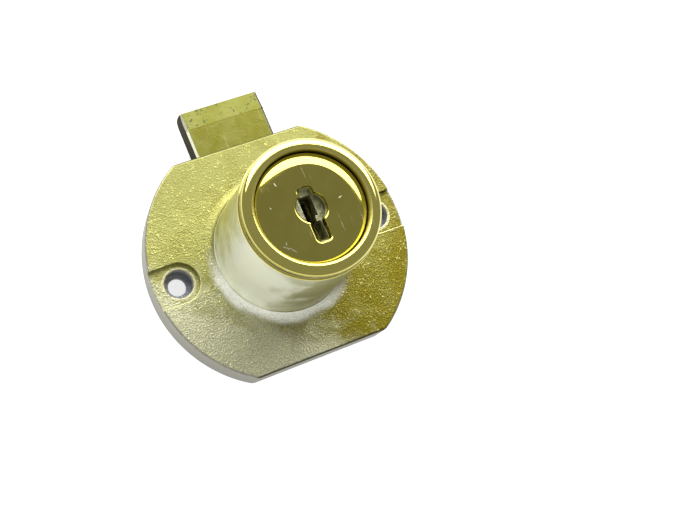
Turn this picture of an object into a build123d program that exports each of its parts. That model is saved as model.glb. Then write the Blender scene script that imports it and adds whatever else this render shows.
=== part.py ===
"""Drawer lock: a die-cast case and barrel, a wafer plug turned by a flat key, and a dead bolt.

The origin is where the barrel's axis meets the mounting face, the face that lies against
the inside of a drawer front. +Z runs along the barrel towards the key, +Y is the way the
bolt shoots, and the two screw holes lie on X. The lock is drawn locked, with its bolt out,
and its wafers are level with the plug, where the right key holds them.
"""

from build123d import *
import math
import os

# Case: a round die casting with two flats, closed at the back by a steel plate. It is as wide
# as its two screws and the metal outside them need.
screw_spacing = 38.1
screw_edge = 4.65
flat_cut = 3.5
case_corner = 2.0
casting_depth = 5.2
case_edge_chamfer = 0.3
plate_thickness = 1.0
front_wall = 0.75

# Screw holes: each stands in a shallow slot that runs out through the case's edge, opens
# wider at the front, and is countersunk from behind for a screw driven from the inside
screw_hole_diameter = 3.2
screw_web = 0.8
screw_mouth_diameter = 4.9
screw_mouth_depth = 2.3
screw_mouth_chamfer = 0.2
screw_head_diameter = 6.6
screw_slot_width = 7.2
screw_slot_depth = 0.8

# Barrel, slightly tapered, with the foot that swells out of the mounting face
barrel_end = 24.0
barrel_draft = 0.4
foot_reach = 1.9
foot_height = 1.0
foot_step = 0.12

# Bezel: a polished sheet cap pressed over the barrel's end, just proud of its neck
bezel_overhang = 0.2
bezel_sheet = 0.45
bezel_skirt = 1.7
bezel_ring_width = 2.2
bezel_inner_leg = 1.4
bezel_gap = 0.05

# Plug: the core that turns, its wider head, and the polished cup over that head
plug_diameter = 12.7
plug_clearance = 0.05
head_ledge = 2.2
head_height = 1.9
cup_sheet = 0.5
cup_gap = 0.05
cup_clearance = 0.15
cup_groove = 0.3
cup_shoulder_width = 2.2
cup_shoulder_drop = 0.65
cup_shoulder_bulge = 0.2
cup_skirt = 0.9
cup_sink = 0.7

# Keyway in the plug, and the keyhole stamped in the cup
keyway_width = 2.2
keyway_top = 2.4
keyway_edge = 0.85
keyway_end = 0.35
ward_height = 0.9
ward_depth = 0.55
ward_middle = 1.6
keyhole_eye_diameter = 5.5
keyhole_slot_width = 3.0
keyhole_top = 3.7
keyhole_margin = 0.7
keyhole_corner = 0.8
keyhole_bevel = 0.2
eye_recess_diameter = 7.2
eye_recess_depth = 0.6

# Wafers: sliding plates that lock the plug to the barrel, one spring beside each
wafer_count = 5
wafer_pitch = 2.8
wafer_drop = 2.6
wafer_thickness = 0.95
wafer_slot_gap = 0.05
wafer_width = 7.8
wafer_end_gap = 0.15
wafer_window_width = 2.6
wafer_window_top = 3.5
wafer_window_bottom = 5.2
wafer_code = (2, 0, 3, 1, 4)
wafer_code_step = 0.35
wafer_lug_bottom = 0.9
wafer_spring_side = 2.25
wafer_travel_out = 1.1
groove_clearance = 0.15
groove_depth = 1.35

# Wafer springs, drawn with a few straight runs to each turn
spring_wire = 0.26
spring_diameter = 1.36
spring_turns = 3
spring_runs = 8
spring_seat = 3.6
spring_pocket_gap = 0.1

# Retaining clip in a groove near the plug's rear end
clip_thickness = 0.8
clip_band = 2.55
clip_groove_depth = 0.95
clip_gap = 0.05
clip_grip = 0.7
clip_chamber_gap = 0.3
clip_chamber_height = 3.6
clip_end_play = 0.1
clip_tip_round = 0.6

# Thrust washer between the clip and the barrel's shoulder
washer_thickness = 0.4
washer_gap = 0.05
washer_rim_gap = 0.6

# Stop lug under the plug's head, and the half-turn track that it runs in
lug_angle = 26.0
lug_reach = 1.25
lug_height = 1.2
track_gap = 0.15

# Crank pin on the plug's rear face, which works in the bolt's cross slot
crank_edge = 0.35
crank_pin_diameter = 3.2
crank_pin_web = 0.3
crank_pin_gap = 0.25
crank_slot_slack = 1.05
crank_slot_end_gap = 0.15

# Bolt
bolt_width = 15.1
bolt_gap = 0.075
bolt_side_gap = 0.1
bolt_tail_gap = 0.3
channel_wall = 2.1
bolt_bevel_length = 3.3
bolt_bevel_drop = 0.35
bolt_edge_chamfer = 0.35
bolt_nose_round = 1.4
bolt_tail_round = 1.5

# Rivets that hold the back plate
rivet_spot_x = 12.2
rivet_spot_y = 12.6
rivet_diameter = 2.4
rivet_length = 3.2
rivet_gap = 0.05
rivet_head_diameter = 4.0
rivet_head_height = 0.5
rivet_head_chamfer = 0.35

# Sizes of the plug's head, cup and bezel, and of the barrel that holds them
plug_radius = plug_diameter / 2
head_radius = plug_radius + head_ledge
cup_radius = head_radius + cup_gap + cup_sheet
bezel_hole_radius = cup_radius + cup_groove
bezel_radius = bezel_hole_radius + bezel_ring_width
barrel_neck_radius = bezel_radius - bezel_overhang
barrel_base_radius = barrel_neck_radius + barrel_draft
neck_radius = bezel_radius - bezel_sheet - bezel_gap
mouth_radius = bezel_hole_radius + bezel_sheet + bezel_gap
cup_top = barrel_end - cup_sink
head_top = cup_top - cup_sheet
head_bottom = head_top - head_height

# Sizes of the plug's inner end: clip, washer, crank pin, keyway and wafers
plug_rear = -front_wall
clip_groove_radius = plug_radius - clip_groove_depth
clip_inner_radius = clip_groove_radius + clip_gap
clip_radius = clip_inner_radius + clip_band
clip_mouth = 2 * (clip_groove_radius - clip_grip)
chamber_radius = clip_radius + clip_chamber_gap
chamber_top = clip_chamber_height - front_wall
washer_bottom = chamber_top - washer_thickness
clip_top = washer_bottom - clip_end_play
clip_bottom = clip_top - clip_thickness
crank_radius = plug_radius - crank_edge - crank_pin_diameter / 2
crank_pin_top = clip_bottom - clip_gap - crank_pin_web
keyway_bottom = plug_radius - keyway_edge
keyway_floor = chamber_top + keyway_end
keyhole_bottom = keyway_bottom + keyhole_margin
wafer_radius = plug_radius - wafer_end_gap
wafer_slot = wafer_thickness + 2 * wafer_slot_gap
wafer_heights = [head_bottom - wafer_drop - wafer_pitch * i for i in range(wafer_count)]
spring_x = (wafer_spring_side + wafer_width / 2) / 2

# Sizes of the case and its bolt
case_radius = screw_spacing / 2 + screw_edge
half_flats = case_radius - flat_cut
case_back = -(casting_depth + plate_thickness)
bolt_front = -(front_wall + bolt_gap)
bolt_thickness = casting_depth - front_wall - 2 * bolt_gap
bolt_travel = 2 * crank_radius
bolt_tip = half_flats + bolt_travel
channel_bottom = half_flats - channel_wall
bolt_tail = channel_bottom - bolt_travel - bolt_tail_gap


def revolved(line):
    """A solid turned about Z from a closed line whose X is the radius and Y the height."""
    return revolve(Plane.XZ * make_face(line), axis=Axis.Z)


def tube_between(radius, low, high, x=0.0, y=0.0):
    """A round bar along Z, from one height to another."""
    return Pos(x, y, (low + high) / 2) * Cylinder(radius, high - low)


def block(x_low, x_high, y_low, y_high, z_low, z_high):
    """A square-cornered block given by its limits."""
    middle = ((x_low + x_high) / 2, (y_low + y_high) / 2, (z_low + z_high) / 2)
    return Pos(*middle) * Box(x_high - x_low, y_high - y_low, z_high - z_low)


def case_outline():
    """The case seen from the front: a circle cut by two flats, with rounded corners."""
    outline = Circle(case_radius) & Rectangle(2 * case_radius, 2 * half_flats)
    return fillet(outline.vertices(), case_corner)


def screw_spots():
    """The two places of the mounting screws."""
    return [(-screw_spacing / 2, 0.0), (screw_spacing / 2, 0.0)]


def rivet_spots():
    """The four places of the back plate's rivets."""
    return [(x * rivet_spot_x, y * rivet_spot_y) for x in (-1, 1) for y in (-1, 1)]


def barrel_blank():
    """The barrel before it is bored: foot, plain shank, and the neck that takes the bezel."""
    foot_radius = barrel_base_radius + foot_step
    neck_start = barrel_end - bezel_skirt
    half = foot_reach * (1 - math.sqrt(0.5))
    rise = foot_height * (1 - math.sqrt(0.5))
    foot_curve = ThreePointArc(
        (foot_radius + foot_reach, 0),
        (foot_radius + half, rise),
        (foot_radius, foot_height),
    )
    rest = Polyline(
        (foot_radius, foot_height),
        (barrel_base_radius, foot_height),
        (barrel_neck_radius, neck_start),
        (neck_radius, neck_start),
        (neck_radius, barrel_end),
        (0, barrel_end),
        (0, -front_wall),
        (foot_radius + foot_reach, -front_wall),
        (foot_radius + foot_reach, 0),
    )
    return revolved(foot_curve + rest)


def wafer_grooves():
    """The two grooves along the bore that the wafers spring into."""
    half = wafer_width / 2 + groove_clearance
    reach = plug_radius + groove_depth
    top = wafer_heights[0] + wafer_slot
    bottom = wafer_heights[-1] - wafer_slot
    return block(-half, half, -reach, reach, bottom, top)


def screw_slot(x, y):
    """The shallow slot round a screw hole, open at the case's edge."""
    outward = math.copysign(1.0, x)
    width = screw_slot_width
    far = x + outward * width
    run = block(min(x, far), max(x, far), y - width / 2, y + width / 2, -screw_slot_depth, width)
    return run + tube_between(width / 2, -screw_slot_depth, width, x, y)


def screw_hole(x, y):
    """A screw's hole: a wide mouth in front, a web, and a countersink from the back."""
    radius = screw_hole_diameter / 2
    mouth = screw_mouth_diameter / 2
    web_front = -screw_slot_depth - screw_mouth_depth
    web_back = web_front - screw_web
    line = Polyline(
        (0, -screw_slot_depth),
        (mouth + screw_mouth_chamfer, -screw_slot_depth),
        (mouth, -screw_slot_depth - screw_mouth_chamfer),
        (mouth, web_front),
        (radius, web_front),
        (radius, web_back),
        (screw_head_diameter / 2, -casting_depth),
        (0, -casting_depth),
        (0, -screw_slot_depth),
    )
    return Pos(x, y, 0) * revolved(line)


def sector(radius, half_angle, low, high, start=0.0, sweep_angle=0.0):
    """A wedge of a disc about Z, its middle line swept from one angle by another."""
    first = start - half_angle
    span = sweep_angle + 2 * half_angle
    middle = math.radians(first + span / 2)
    ends = [math.radians(first), math.radians(first + span)]
    points = [(radius * math.cos(a), radius * math.sin(a)) for a in (ends[0], middle, ends[1])]
    outline = ThreePointArc(*points) + Polyline(points[2], (0, 0), points[0])
    return extrude(Pos(0, 0, low) * make_face(outline), amount=high - low)


def stop_track():
    """The half-turn track in the barrel's ledge, which ends the plug's turn both ways."""
    reach = plug_radius + lug_reach + track_gap
    slack = math.degrees(track_gap / reach)
    low = head_bottom - lug_height - track_gap
    return sector(reach, lug_angle / 2 + slack, low, head_bottom, -180, 180)


def bolt_channel():
    """The room that the bolt slides in, open at the back and at the upper flat."""
    half = bolt_width / 2 + bolt_side_gap
    return block(-half, half, -channel_bottom, case_radius, -casting_depth, -front_wall)


def make_housing():
    """The die casting: case, foot and barrel in one piece."""
    case = extrude(case_outline(), amount=-casting_depth)
    front_edges = case.faces().sort_by(Axis.Z)[-1].edges()
    case = chamfer(front_edges, case_edge_chamfer)
    for spot in screw_spots():
        case -= screw_slot(*spot)
        case -= screw_hole(*spot)
    case += barrel_blank()
    case -= bolt_channel()
    case -= tube_between(plug_radius + plug_clearance, -casting_depth, barrel_end)
    case -= tube_between(cup_radius + cup_clearance, head_bottom, barrel_end)
    case -= tube_between(mouth_radius, barrel_end - bezel_inner_leg - bezel_gap, barrel_end)
    case -= tube_between(chamber_radius, -front_wall, chamber_top)
    case -= wafer_grooves()
    case -= stop_track()
    for x, y in rivet_spots():
        hole_end = rivet_length - casting_depth
        case -= tube_between(rivet_diameter / 2, -casting_depth, hole_end, x, y)
    return case


def make_bezel():
    """A ring over the barrel's end: a skirt outside, a half-round crown, a leg in the mouth."""
    skirt_end = barrel_end - bezel_skirt
    leg_end = barrel_end - bezel_inner_leg
    middle = (bezel_radius + bezel_hole_radius) / 2
    line = ThreePointArc(
        (bezel_radius, barrel_end),
        (middle, barrel_end + bezel_ring_width / 2),
        (bezel_hole_radius, barrel_end),
    )
    line += Polyline(
        (bezel_hole_radius, barrel_end),
        (bezel_hole_radius, leg_end),
        (bezel_hole_radius + bezel_sheet, leg_end),
        (bezel_hole_radius + bezel_sheet, barrel_end),
        (bezel_radius - bezel_sheet, barrel_end),
        (bezel_radius - bezel_sheet, skirt_end),
        (bezel_radius, skirt_end),
        (bezel_radius, barrel_end),
    )
    return revolved(line)


def keyway():
    """The key's slot down the plug, with the ward that stands out from one wall."""
    half = keyway_width / 2
    slot = block(-half, half, -keyway_bottom, keyway_top, keyway_floor, barrel_end)
    low = -ward_middle - ward_height / 2
    ward = block(half - ward_depth, half, low, low + ward_height, keyway_floor, barrel_end)
    return slot - ward


def wafer_slot_cut(height):
    """The slot that one wafer slides in, and the round pocket of its spring."""
    low, high = height - wafer_slot / 2, height + wafer_slot / 2
    left = wafer_width / 2 + wafer_slot_gap
    reach = plug_diameter
    main = block(-left, wafer_spring_side, -reach, reach, low, high)
    side = block(wafer_spring_side, left, -spring_seat, reach, low, high)
    pocket_top = wafer_lug_bottom + wafer_travel_out
    pocket_radius = spring_diameter / 2 + spring_pocket_gap
    pocket = Rot(90, 0, 0) * Cylinder(pocket_radius, pocket_top + spring_seat)
    return main + side + Pos(spring_x, (pocket_top - spring_seat) / 2, height) * pocket


def make_plug():
    """The core with its head, keyway, wafer slots, clip groove and crank pin hole."""
    core = tube_between(plug_radius, plug_rear, head_bottom)
    head_line = Polyline(
        (0, head_bottom),
        (head_radius, head_bottom),
        (head_radius, head_top - cup_shoulder_drop),
        (cup_radius - cup_shoulder_width - cup_gap, head_top),
        (0, head_top),
        (0, head_bottom),
    )
    plug = core + revolved(head_line)
    plug += sector(plug_radius + lug_reach, lug_angle / 2, head_bottom - lug_height, head_bottom)
    plug -= tube_between(eye_recess_diameter / 2, head_top - eye_recess_depth, head_top)
    plug -= keyway()
    for height in wafer_heights:
        plug -= wafer_slot_cut(height)
    groove_low, groove_high = clip_bottom - clip_gap, clip_top + clip_gap
    ring = tube_between(plug_diameter, groove_low, groove_high)
    plug -= ring - tube_between(clip_groove_radius, groove_low, groove_high)
    plug -= tube_between(crank_pin_diameter / 2, plug_rear, crank_pin_top, 0, crank_radius)
    return plug


def keyhole():
    """The stamped opening: a round eye with a slot through it."""
    length = keyhole_top + keyhole_bottom
    slot = RectangleRounded(keyhole_slot_width, length, keyhole_corner)
    return Circle(keyhole_eye_diameter / 2) + Pos(0, keyhole_top - length / 2) * slot


def make_plug_face():
    """The polished cup crimped over the plug's head, with the keyhole pressed through it."""
    edge = cup_top - cup_shoulder_drop
    skirt_end = edge - cup_skirt
    inner_radius = cup_radius - cup_sheet
    flat_radius = cup_radius - cup_shoulder_width
    slope = math.hypot(cup_shoulder_width, cup_shoulder_drop)
    shoulder_middle = (
        (cup_radius + flat_radius) / 2 + cup_shoulder_bulge * cup_shoulder_drop / slope,
        (edge + cup_top) / 2 + cup_shoulder_bulge * cup_shoulder_width / slope,
    )
    line = ThreePointArc((cup_radius, edge), shoulder_middle, (flat_radius, cup_top))
    line += Polyline(
        (flat_radius, cup_top),
        (0, cup_top),
        (0, head_top),
        (flat_radius, head_top),
        (inner_radius, head_top - cup_shoulder_drop),
        (inner_radius, skirt_end),
        (cup_radius, skirt_end),
        (cup_radius, edge),
    )
    cup = revolved(line)
    cup -= extrude(Pos(0, 0, head_top) * keyhole(), amount=cup_sheet)
    rim = cup.faces().filter_by(Axis.Z).sort_by(Axis.Z)[-1].inner_wires()
    return chamfer(rim.edges(), keyhole_bevel)


def make_wafer(height, code):
    """One wafer, level with the plug: a plate with a key window and a lug for its spring."""
    plate = Circle(wafer_radius) & Rectangle(wafer_width, plug_diameter)
    low = -wafer_window_bottom + wafer_code_step * code
    window = Rectangle(wafer_window_width, wafer_window_top - low)
    plate -= Pos(0, (low + wafer_window_top) / 2) * window
    far = plug_diameter
    middle_x = (wafer_spring_side + far) / 2
    middle_y = (wafer_lug_bottom - far) / 2
    plate -= Pos(middle_x, middle_y) * Rectangle(far - wafer_spring_side, far + wafer_lug_bottom)
    return extrude(Pos(0, 0, height - wafer_thickness / 2) * plate, amount=wafer_thickness)


def make_wafer_spring(height):
    """One coil spring standing along Y, from its seat in the plug up to the wafer's lug."""
    radius = (spring_diameter - spring_wire) / 2
    length = wafer_lug_bottom + spring_seat - spring_wire
    steps = spring_turns * spring_runs
    points = []
    for i in range(steps + 1):
        angle = 2 * math.pi * i / spring_runs
        points.append((radius * math.cos(angle), radius * math.sin(angle), length * i / steps))
    path = Polyline(*points)
    section = Plane(origin=path @ 0, z_dir=path % 0) * Rectangle(spring_wire, spring_wire)
    coil = sweep(section, path=path, transition=Transition.RIGHT)
    return Pos(spring_x, -spring_seat + spring_wire / 2, height) * Rot(-90, 0, 0) * coil


def make_retaining_clip():
    """A horseshoe clip that stops the plug from being drawn out of the barrel."""
    shape = Circle(clip_radius) - Circle(clip_inner_radius)
    shape -= Pos(0, -clip_radius) * Rectangle(clip_mouth, 2 * clip_radius)
    shape = fillet(shape.vertices(), clip_tip_round)
    return extrude(Pos(0, 0, clip_bottom) * shape, amount=clip_thickness)


def make_thrust_washer():
    """The flat ring that the clip turns against."""
    bore = plug_radius + washer_gap
    ring = Circle(chamber_radius - washer_rim_gap) - Circle(bore)
    return extrude(Pos(0, 0, washer_bottom) * ring, amount=washer_thickness)


def make_crank_pin():
    """The pin pressed into the plug's rear face, off its axis."""
    end = -casting_depth + crank_pin_gap
    return tube_between(crank_pin_diameter / 2, end, crank_pin_top, 0, crank_radius)


def make_bolt():
    """The dead bolt: a plate with a bevelled nose and the cross slot that the crank pin drives."""
    half = bolt_width / 2
    back = bolt_front - bolt_thickness
    plate = block(-half, half, -bolt_tail, bolt_tip, back, bolt_front)
    nose = plate.edges().filter_by(Axis.X).group_by(Axis.Y)[-1].sort_by(Axis.Z)[0]
    plate = fillet(nose, bolt_nose_round)
    plate = fillet(plate.edges().filter_by(Axis.Z).group_by(Axis.Y)[0], bolt_tail_round)
    bevel = Plane.YZ * Polygon(
        (bolt_tip - bolt_bevel_length, bolt_front),
        (bolt_tip, bolt_front),
        (bolt_tip, bolt_front - bolt_bevel_drop),
        align=None,
    )
    plate -= extrude(bevel, amount=half, both=True)
    long_edges = plate.edges().filter_by(Axis.Y).group_by(Axis.Z)[-1]
    plate = chamfer(long_edges, bolt_edge_chamfer)
    slot_length = 2 * (crank_radius + crank_slot_end_gap) + crank_pin_diameter
    slot_width = crank_pin_diameter + 2 * crank_slot_slack
    slot = RectangleRounded(slot_length, slot_width, crank_pin_diameter / 2)
    return plate - extrude(Pos(0, crank_radius, back) * slot, amount=bolt_thickness)


def make_back_plate():
    """The steel plate that closes the case and keeps the bolt in its channel."""
    plate = extrude(Pos(0, 0, case_back) * case_outline(), amount=plate_thickness)
    for x, y in screw_spots():
        plate -= tube_between(screw_head_diameter / 2, case_back, -casting_depth, x, y)
    for x, y in rivet_spots():
        plate -= tube_between(rivet_diameter / 2 + rivet_gap, case_back, -casting_depth, x, y)
    return plate


def make_rivet(x, y):
    """One rivet: a shank driven into the casting and a low domed head behind the plate."""
    shank_end = rivet_length - casting_depth - rivet_gap
    shank = tube_between(rivet_diameter / 2, case_back, shank_end, x, y)
    head = tube_between(rivet_head_diameter / 2, case_back - rivet_head_height, case_back, x, y)
    rim = head.edges().sort_by(Axis.Z)[0]
    return shank + chamfer(rim, rivet_head_chamfer)


def main():
    os.makedirs("parts", exist_ok=True)
    pieces = {
        "housing": make_housing(),
        "bezel": make_bezel(),
        "plug": make_plug(),
        "plug_face": make_plug_face(),
        "thrust_washer": make_thrust_washer(),
        "retaining_clip": make_retaining_clip(),
        "crank_pin": make_crank_pin(),
        "bolt": make_bolt(),
        "back_plate": make_back_plate(),
        "back_plate_rivets": Compound(children=[make_rivet(x, y) for x, y in rivet_spots()]),
    }
    for number, (height, code) in enumerate(zip(wafer_heights, wafer_code), start=1):
        pieces[f"wafer_{number}"] = make_wafer(height, code)
        pieces[f"wafer_spring_{number}"] = make_wafer_spring(height)
    for name, shape in pieces.items():
        export_step(shape, f"parts/{name}.step")


main()
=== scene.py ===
import math

import bmesh
import bpy
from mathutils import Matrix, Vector


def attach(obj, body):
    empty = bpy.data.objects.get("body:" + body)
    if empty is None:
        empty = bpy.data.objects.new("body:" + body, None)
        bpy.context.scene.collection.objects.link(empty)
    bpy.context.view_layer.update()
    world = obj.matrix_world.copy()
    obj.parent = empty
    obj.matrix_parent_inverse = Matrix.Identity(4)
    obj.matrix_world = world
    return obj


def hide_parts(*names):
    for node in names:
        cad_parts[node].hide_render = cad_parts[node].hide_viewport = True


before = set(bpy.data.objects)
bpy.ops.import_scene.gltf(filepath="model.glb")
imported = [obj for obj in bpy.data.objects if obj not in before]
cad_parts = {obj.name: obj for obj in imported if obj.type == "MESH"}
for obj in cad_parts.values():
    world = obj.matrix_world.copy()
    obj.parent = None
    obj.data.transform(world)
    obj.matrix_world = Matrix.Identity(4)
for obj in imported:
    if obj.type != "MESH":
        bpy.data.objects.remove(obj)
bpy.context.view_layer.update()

mm = 0.001
# tolerances for picking vertices and edges, and the length from which an edge is a long one, in millimetres
close = 0.01
near = 0.05
longEdge = 1.0


# small tools

def clearSelection():
    if bpy.context.mode != "OBJECT":
        bpy.ops.object.mode_set(mode="OBJECT")
    bpy.ops.object.select_all(action="DESELECT")


def pick(piece):
    clearSelection()
    piece.select_set(True)
    bpy.context.view_layer.objects.active = piece


def editAll(piece):
    pick(piece)
    bpy.ops.object.mode_set(mode="EDIT")
    bpy.ops.mesh.select_mode(type="VERT")
    bpy.ops.mesh.select_all(action="SELECT")


def selectVerts(piece, test):
    bpy.ops.mesh.select_all(action="DESELECT")
    bpy.ops.mesh.select_mode(type="VERT")
    shape = bmesh.from_edit_mesh(piece.data)
    for vert in shape.verts:
        vert.select = test(vert.co / mm)
    shape.select_flush_mode()
    bmesh.update_edit_mesh(piece.data)


def selectEdges(piece, test):
    bpy.ops.mesh.select_all(action="DESELECT")
    bpy.ops.mesh.select_mode(type="EDGE")
    shape = bmesh.from_edit_mesh(piece.data)
    for edge in shape.edges:
        edge.select = test(edge.verts[0].co / mm, edge.verts[1].co / mm, edge)
    shape.select_flush_mode()
    bmesh.update_edit_mesh(piece.data)


def roundEdges(piece, test, width, segments):
    editAll(piece)
    selectEdges(piece, test)
    bpy.ops.mesh.bevel(offset=width * mm, segments=segments, affect="EDGES")
    bpy.ops.object.mode_set(mode="OBJECT")


def roundUprights(piece, width, segments):
    # rounds the corners of a cutter that are seen from above
    roundEdges(piece, lambda a, b, edge: abs(a.z - b.z) > longEdge, width, segments)


def raiseFace(height):
    # in edit mode, draws a flat face up into a closed body
    bpy.ops.mesh.select_all(action="SELECT")
    bpy.ops.mesh.extrude_region_move(TRANSFORM_OT_translate={"value": (0, 0, height * mm)})
    bpy.ops.mesh.select_all(action="SELECT")
    bpy.ops.mesh.normals_make_consistent(inside=False)
    bpy.ops.object.mode_set(mode="OBJECT")


def arcPoints(centre, radii, fromAngle, toAngle, count):
    points = []
    for i in range(count + 1):
        angle = math.radians(fromAngle + (toAngle - fromAngle) * i / count)
        points.append((centre[0] + radii[0] * math.cos(angle), centre[1] + radii[1] * math.sin(angle)))
    return points


def spinProfile(name, profile, steps, turn=360.0, start=0.0):
    # a vertex is drawn along the profile (radius, height), then spun about Z
    clearSelection()
    bpy.ops.mesh.primitive_plane_add(size=mm, location=(0, 0, 0))
    piece = bpy.context.active_object
    piece.name = name
    editAll(piece)
    bpy.ops.mesh.merge(type="CENTER")
    aim = (math.cos(math.radians(start)), math.sin(math.radians(start)))
    radius, height = profile[0]
    bpy.ops.transform.translate(value=(radius * aim[0] * mm, radius * aim[1] * mm, height * mm))
    for here, there in zip(profile, profile[1:]):
        out = (there[0] - here[0]) * mm
        step = (out * aim[0], out * aim[1], (there[1] - here[1]) * mm)
        bpy.ops.mesh.extrude_vertices_move(TRANSFORM_OT_translate={"value": step})
    bpy.ops.mesh.select_all(action="SELECT")
    bpy.ops.mesh.spin(steps=steps, angle=math.radians(turn), center=(0, 0, 0), axis=(0, 0, 1))
    bpy.ops.mesh.select_all(action="SELECT")
    bpy.ops.mesh.remove_doubles(threshold=0.001 * mm)
    if turn < 360.0:
        bpy.ops.mesh.select_all(action="DESELECT")
        bpy.ops.mesh.select_non_manifold()
        bpy.ops.mesh.fill_holes(sides=0)
        bpy.ops.mesh.select_all(action="SELECT")
    bpy.ops.mesh.normals_make_consistent(inside=False)
    bpy.ops.object.mode_set(mode="OBJECT")
    return piece


def addPost(name, radius, low, high, steps):
    return spinProfile(name, [(0, low), (radius, low), (radius, high), (0, high)], steps)


def addBlock(name, low, high):
    clearSelection()
    middle = [(a + b) / 2 * mm for a, b in zip(low, high)]
    bpy.ops.mesh.primitive_cube_add(size=1, location=middle)
    piece = bpy.context.active_object
    piece.name = name
    piece.scale = [(b - a) * mm for a, b in zip(low, high)]
    bpy.ops.object.transform_apply(location=True, rotation=True, scale=True)
    return piece


def slide(piece, offset):
    editAll(piece)
    bpy.ops.transform.translate(value=[part * mm for part in offset])
    bpy.ops.object.mode_set(mode="OBJECT")


def combine(piece, tool, operation):
    pick(piece)
    change = piece.modifiers.new("shape", "BOOLEAN")
    change.operation = operation
    change.solver = "EXACT"
    change.object = tool
    bpy.ops.object.modifier_apply(modifier=change.name)
    bpy.data.objects.remove(tool)


def softenEdges(piece, width, angle):
    pick(piece)
    change = piece.modifiers.new("edges", "BEVEL")
    change.width = width * mm
    change.segments = 2
    change.limit_method = "ANGLE"
    change.angle_limit = math.radians(angle)
    change.miter_outer = "MITER_ARC"
    bpy.ops.object.modifier_apply(modifier=change.name)


def smooth(piece, angle):
    pick(piece)
    bpy.ops.object.shade_smooth_by_angle(angle=math.radians(angle))
    change = piece.modifiers.new("normals", "WEIGHTED_NORMAL")
    change.keep_sharp = True
    change.weight = 60
    bpy.ops.object.modifier_apply(modifier=change.name)


def finishPiece(piece, body, material, node):
    piece.data.materials.clear()
    piece.data.materials.append(material)
    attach(piece, body)
    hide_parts(node)
    clearSelection()


# shader groups

def newGroup(name, outputs, setting=None):
    # every group takes a place, some take a number too, and all give numbers
    group = bpy.data.node_groups.new(name, "ShaderNodeTree")
    group.interface.new_socket("Vector", in_out="INPUT", socket_type="NodeSocketVector")
    if setting:
        group.interface.new_socket(setting, in_out="INPUT", socket_type="NodeSocketFloat")
    for label in outputs:
        group.interface.new_socket(label, in_out="OUTPUT", socket_type="NodeSocketFloat")
    return group, group.nodes.new("NodeGroupInput"), group.nodes.new("NodeGroupOutput")


def fillSockets(tree, node, values):
    for key, value in values.items():
        if isinstance(value, bpy.types.NodeSocket):
            tree.links.new(value, node.inputs[key])
        else:
            node.inputs[key].default_value = value


def addNode(tree, kind, values=None, **settings):
    node = tree.nodes.new(kind)
    for key, value in settings.items():
        setattr(node, key, value)
    fillSockets(tree, node, values or {})
    return node


def mathNode(tree, operation, first, second, clamp=False):
    node = addNode(tree, "ShaderNodeMath", {0: first, 1: second}, operation=operation, use_clamp=clamp)
    return node.outputs[0]


def times(tree, first, *others):
    for other in others:
        first = mathNode(tree, "MULTIPLY", first, other)
    return first


def plus(tree, first, *others):
    for other in others:
        first = mathNode(tree, "ADD", first, other)
    return first


def highest(tree, first, *others):
    for other in others:
        first = mathNode(tree, "MAXIMUM", first, other)
    return first


def absolute(tree, value):
    return mathNode(tree, "ABSOLUTE", value, 0.0)


def level(tree, mask, change, base):
    node = addNode(tree, "ShaderNodeMath", {0: mask, 1: change, 2: base}, operation="MULTIPLY_ADD")
    return node.outputs[0]


def vectorNode(tree, operation, values):
    return addNode(tree, "ShaderNodeVectorMath", values, operation=operation)


def ramp(tree, value, low, high, toLow=0.0, toHigh=1.0):
    limits = {"Value": value, "From Min": low, "From Max": high, "To Min": toLow, "To Max": toHigh}
    return addNode(tree, "ShaderNodeMapRange", limits, interpolation_type="SMOOTHSTEP").outputs["Result"]


def zoneReader(tree, zones):
    # gives a function that fades a value in or out by a named zone
    return lambda value, name: ramp(tree, value, *zones[name])


def mixColor(tree, factor, first, second):
    # sockets 6 and 7 are the two colours of a mix node
    return addNode(tree, "ShaderNodeMix", {0: factor, 6: first, 7: second}, data_type="RGBA").outputs[2]


def noiseNode(tree, place, scale, **more):
    return addNode(tree, "ShaderNodeTexNoise", {"Vector": place, "Scale": scale, **more})


def makePlaceGroup():
    # radius from the barrel's axis, height, and the places across and along the case, in millimetres
    group, entry, leave = newGroup("placeOnLock", ("Radius", "Height", "Across", "Along"))
    axes = addNode(group, "ShaderNodeSeparateXYZ", {0: entry.outputs["Vector"]})
    across, along, height = axes.outputs
    flat = addNode(group, "ShaderNodeCombineXYZ", {0: across, 1: along})
    reach = vectorNode(group, "LENGTH", {0: flat.outputs[0]}).outputs["Value"]
    for label, value in (("Radius", reach), ("Height", height), ("Across", across), ("Along", along)):
        group.links.new(times(group, value, 1 / mm), leave.inputs[label])
    return group


castGrain = {
    "drift": 0.7, "warp": 0.0011, "gritScale": 1.7, "swellScale": 0.22, "cellShare": 0.5, "gritShare": 1.2,
    "swellShare": 0.7, "cellEdge": (0.65, 0.05), "raisedChance": (0.1, 0.75), "mottle": (0.36, 0.64),
    "fleckEdge": (0.5, 0.2), "fleckChance": (0.45, 0.8), "patch": (0.36, 0.58),
}


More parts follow.
